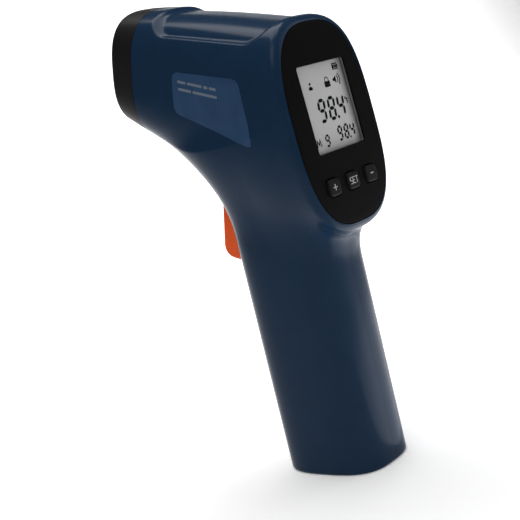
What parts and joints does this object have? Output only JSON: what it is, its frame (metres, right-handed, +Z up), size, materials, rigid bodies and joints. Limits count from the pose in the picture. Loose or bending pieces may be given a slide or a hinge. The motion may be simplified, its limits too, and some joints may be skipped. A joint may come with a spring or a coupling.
{
  "type": "infrared thermometer",
  "caption": "Pistol-grip non-contact thermometer with a sensor nose, a trigger, a display with keys on the rear face, and batteries in the handle.",
  "frame": {"origin": "centre of the flat end of the handle, on which it stands", "axes": "+Z up the handle, +X out of the display, -X towards the nose, +Y to the right seen from the display"},
  "size_m": [0.0744, 0.043, 0.1524],
  "materials": {
    "casing_navy": "satin moulded ABS",
    "label_blue": "printed film",
    "black_plastic": "fine matte",
    "key_black": "fine matte",
    "trigger_orange": "satin",
    "clear_window": "polished acrylic",
    "lcd_glass": "polarised glass",
    "white_plastic": "matte",
    "grey_rubber": "matte",
    "board_green": "solder mask",
    "chip_black": "moulded epoxy",
    "tray_grey": "matte",
    "ribbon_grey": "satin",
    "filter_dark": "polished silicon",
    "steel": "nickel plated",
    "spring_steel": "nickel plated wire",
    "brass": "turned",
    "cell_sleeve": "shrink sleeve",
    "lead_red": "PVC insulation",
    "lead_black": "PVC insulation"
  },
  "bodies": {
    "housing": {"left_shell": "casing_navy", "right_shell": "casing_navy", "nose_cap": "black_plastic", "side_label": "label_blue", "display_bezel": "black_plastic", "display_window": "clear_window", "lcd_panel": "lcd_glass", "backlight_plate": "white_plastic", "contact_strip": "grey_rubber", "plus_switch_body": "steel", "set_switch_body": "steel", "minus_switch_body": "steel", "main_board": "board_green", "controller_chip": "chip_black", "buzzer": "chip_black", "board_screw_1": "steel", "board_screw_2": "steel", "board_screw_3": "steel", "sensor_tube": "black_plastic", "sensor_sleeve": "brass", "thermopile_can": "steel", "sensor_filter": "filter_dark", "sensor_board": "board_green", "sensor_ribbon": "ribbon_grey", "trigger_pin": "steel", "trigger_spring": "spring_steel", "trigger_switch_body": "chip_black", "trigger_board": "board_green", "battery_tray": "tray_grey", "battery_1": "cell_sleeve", "battery_2": "cell_sleeve", "link_plate": "steel", "terminal_plate_1": "steel", "terminal_plate_2": "steel", "contact_spring_1": "spring_steel", "contact_spring_2": "spring_steel", "battery_lead_red": "lead_red", "battery_lead_black": "lead_black", "casing_screw_1": "steel", "casing_screw_2": "steel", "casing_screw_3": "steel", "casing_screw_4": "steel"},
    "trigger": {"trigger": "trigger_orange", "trigger_switch_stem": "white_plastic"},
    "plus_key": {"plus_key": "key_black", "plus_switch_stem": "white_plastic"},
    "set_key": {"set_key": "key_black", "set_switch_stem": "white_plastic"},
    "minus_key": {"minus_key": "key_black", "minus_switch_stem": "white_plastic"},
    "battery_door": {"battery_door": "casing_navy"}
  },
  "joints": [
    {"name": "trigger_pull", "type": "hinge", "parent": "housing", "child": "trigger", "pos_m": [-0.0155, 0, 0.0895], "axis": [0, -1, 0], "range_deg": [0, 8], "stiffness_Nm_per_rad": 0.08, "springref_deg": -20.05, "deforming": ["trigger_spring"]},
    {"name": "plus_press", "type": "slide", "parent": "housing", "child": "plus_key", "axis": [-0.9987, 0, -0.0506], "range_m": [0, 0.0006], "stiffness_N_per_m": 1500, "springref_m": -0.0003},
    {"name": "set_press", "type": "slide", "parent": "housing", "child": "set_key", "axis": [-0.9987, 0, -0.0506], "range_m": [0, 0.0006], "stiffness_N_per_m": 1500, "springref_m": -0.0003},
    {"name": "minus_press", "type": "slide", "parent": "housing", "child": "minus_key", "axis": [-0.9987, 0, -0.0506], "range_m": [0, 0.0006], "stiffness_N_per_m": 1500, "springref_m": -0.0003},
    {"name": "battery_door_open", "type": "hinge", "parent": "housing", "child": "battery_door", "pos_m": [-0.0181, 0, 0.006], "axis": [0, -1, 0], "range_deg": [0, 75]}
  ]
}
